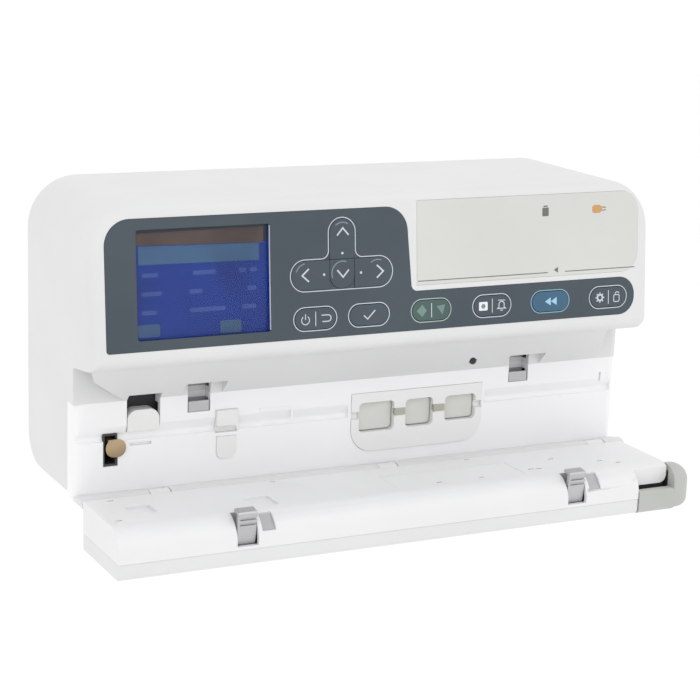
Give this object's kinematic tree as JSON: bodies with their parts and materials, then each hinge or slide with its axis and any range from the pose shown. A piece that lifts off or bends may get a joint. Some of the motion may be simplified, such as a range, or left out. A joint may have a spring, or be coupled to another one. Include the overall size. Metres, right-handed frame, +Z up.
{
  "type": "infusion pump",
  "caption": "Horizontal volumetric infusion pump with tilted key panel, fold-down door with latch, peristaltic fingers and a rear pole clamp.",
  "frame": {"origin": "on the axis of the pole that the rear clamp holds, at half the height of the casing", "axes": "+X to the pump's right seen from the front, +Y back from the front face towards the pole, +Z up along the pole"},
  "size_m": [0.3039, 0.2371, 0.1594],
  "materials": {
    "casing_white": "fine satin texture",
    "door_white": "smooth satin",
    "wall_white": "smooth satin",
    "panel_blue_grey": "matte membrane film",
    "label_cream": "matte film",
    "screen_glass": "clear gloss",
    "screen_module": "moulded frame",
    "key_dark": "satin",
    "key_green": "satin",
    "key_blue": "satin",
    "silicone_grey": "moulded silicone",
    "circuit_green": "solder mask",
    "finger_cream": "smooth satin",
    "window_white": "smooth gloss",
    "steel_brushed": "ground",
    "brass_plunger": "turned",
    "sensor_white": "satin",
    "latch_metal": "satin plate",
    "handle_grey": "satin",
    "dark_plastic": "fine texture",
    "battery_blue": "shrink film",
    "clamp_metal": "powder coat",
    "rubber_black": "matte"
  },
  "bodies": {
    "housing": {"front_casing": "casing_white", "rear_casing": "casing_white", "base_cover": "casing_white", "hinge_hood": "casing_white", "tube_wall": "wall_white", "pump_window": "window_white", "latch_keepers": "latch_metal", "air_sensor": "sensor_white", "pressure_sensor": "sensor_white", "tube_rest": "sensor_white", "flow_clamp_guide": "dark_plastic", "panel_overlay": "panel_blue_grey", "label_panel": "label_cream", "screen_glass": "screen_glass", "screen_module": "screen_module", "key_mats": "silicone_grey", "key_board": "circuit_green", "main_board": "circuit_green", "battery_pack": "battery_blue", "power_supply": "circuit_green", "speaker": "dark_plastic", "mains_inlet": "dark_plastic", "data_port": "dark_plastic", "drive_frame": "steel_brushed", "drive_motor": "dark_plastic", "hinge_brackets": "casing_white", "hinge_pin": "steel_brushed", "clamp_body": "clamp_metal", "clamp_bolts": "steel_brushed", "case_screws": "steel_brushed", "rubber_feet": "rubber_black"},
    "door": {"door_liner": "door_white", "door_cover": "door_white", "door_knuckles": "door_white", "shaft_bearings": "dark_plastic", "platen_springs": "steel_brushed"},
    "platen": {"platen": "door_white"},
    "latch": {"latch_shaft": "steel_brushed", "latch_hooks": "latch_metal", "latch_handle": "handle_grey"},
    "camshaft": {"camshaft": "steel_brushed", "drive_gear": "brass_plunger"},
    "motor_rotor": {"motor_pinion": "steel_brushed"},
    "inlet_finger": {"inlet_finger": "finger_cream"},
    "pumping_finger": {"pumping_finger": "finger_cream"},
    "outlet_finger": {"outlet_finger": "finger_cream"},
    "flow_clamp": {"flow_clamp_plunger": "brass_plunger"},
    "clamp_jaw": {"clamp_jaw": "dark_plastic"},
    "clamp_screw": {"clamp_screw": "steel_brushed", "clamp_knob": "dark_plastic"},
    "key_power": {"key_power": "key_dark"},
    "key_stop": {"key_stop": "key_dark"},
    "key_start": {"key_start": "key_green"},
    "key_bolus": {"key_bolus": "key_blue"},
    "key_menu": {"key_menu": "key_dark"},
    "key_ok": {"key_ok": "key_dark"},
    "key_up": {"key_up": "key_dark"},
    "key_down": {"key_down": "key_dark"},
    "key_left": {"key_left": "key_dark"},
    "key_right": {"key_right": "key_dark"}
  },
  "joints": [
    {"name": "door_hinge", "type": "hinge", "parent": "housing", "child": "door", "pos_m": [0, -0.111, -0.0729], "axis": [-1, 0, 0], "range_deg": [0, 90]},
    {"name": "latch_turn", "type": "hinge", "parent": "door", "child": "latch", "pos_m": [0, -0.153, -0.0784], "axis": [-1, 0, 0], "range_deg": [0, 23]},
    {"name": "platen_float", "type": "slide", "parent": "door", "child": "platen", "axis": [0, 0, -1], "range_m": [0, 0.001], "stiffness_N_per_m": 3000, "deforming": ["platen_springs"]},
    {"name": "key_power_press", "type": "slide", "parent": "housing", "child": "key_power", "axis": [0, 0.9956, -0.0934], "range_m": [0, 0.0006], "stiffness_N_per_m": 1500},
    {"name": "key_stop_press", "type": "slide", "parent": "housing", "child": "key_stop", "axis": [0, 0.9956, -0.0934], "range_m": [0, 0.0006], "stiffness_N_per_m": 1500},
    {"name": "key_start_press", "type": "slide", "parent": "housing", "child": "key_start", "axis": [0, 0.9956, -0.0934], "range_m": [0, 0.0006], "stiffness_N_per_m": 1500},
    {"name": "key_bolus_press", "type": "slide", "parent": "housing", "child": "key_bolus", "axis": [0, 0.9956, -0.0934], "range_m": [0, 0.0006], "stiffness_N_per_m": 1500},
    {"name": "key_menu_press", "type": "slide", "parent": "housing", "child": "key_menu", "axis": [0, 0.9956, -0.0934], "range_m": [0, 0.0006], "stiffness_N_per_m": 1500},
    {"name": "key_ok_press", "type": "slide", "parent": "housing", "child": "key_ok", "axis": [0, 0.9956, -0.0934], "range_m": [0, 0.0006], "stiffness_N_per_m": 1500},
    {"name": "key_up_press", "type": "slide", "parent": "housing", "child": "key_up", "axis": [0, 0.9956, -0.0934], "range_m": [0, 0.0006], "stiffness_N_per_m": 1500},
    {"name": "key_down_press", "type": "slide", "parent": "housing", "child": "key_down", "axis": [0, 0.9956, -0.0934], "range_m": [0, 0.0006], "stiffness_N_per_m": 1500},
    {"name": "key_left_press", "type": "slide", "parent": "housing", "child": "key_left", "axis": [0, 0.9956, -0.0934], "range_m": [0, 0.0006], "stiffness_N_per_m": 1500},
    {"name": "key_right_press", "type": "slide", "parent": "housing", "child": "key_right", "axis": [0, 0.9956, -0.0934], "range_m": [0, 0.0006], "stiffness_N_per_m": 1500},
    {"name": "camshaft_spin", "type": "hinge", "parent": "housing", "child": "camshaft", "pos_m": [0, -0.0767, -0.04355], "axis": [1, 0, 0], "continuous": true},
    {"name": "motor_spin", "type": "hinge", "parent": "housing", "child": "motor_rotor", "pos_m": [0.08, -0.0557, -0.04355], "axis": [1, 0, 0], "continuous": true},
    {"name": "inlet_finger_stroke", "type": "slide", "parent": "housing", "child": "inlet_finger", "axis": [0, -1, 0], "range_m": [0, 0.0018], "stiffness_N_per_m": 800},
    {"name": "pumping_finger_stroke", "type": "slide", "parent": "housing", "child": "pumping_finger", "axis": [0, -1, 0], "range_m": [0, 0.0018], "stiffness_N_per_m": 800},
    {"name": "outlet_finger_stroke", "type": "slide", "parent": "housing", "child": "outlet_finger", "axis": [0, -1, 0], "range_m": [0, 0.0018], "stiffness_N_per_m": 800},
    {"name": "flow_clamp_press", "type": "slide", "parent": "housing", "child": "flow_clamp", "axis": [0, 1, 0], "range_m": [0, 0.0008], "stiffness_N_per_m": 800},
    {"name": "jaw_slide", "type": "slide", "parent": "housing", "child": "clamp_jaw", "axis": [0, 1, 0], "range_m": [0, 0.012]},
    {"name": "screw_turn", "type": "hinge", "parent": "clamp_jaw", "child": "clamp_screw", "pos_m": [0, 0.03, 0], "axis": [0, -1, 0], "range_deg": [0, 1731]}
  ],
  "couplings": [
    {"joint": "motor_spin", "follows": "camshaft_spin", "ratio": -2.5},
    {"joint": "screw_turn", "follows": "jaw_slide", "rad_per_m": 2513.3}
  ]
}
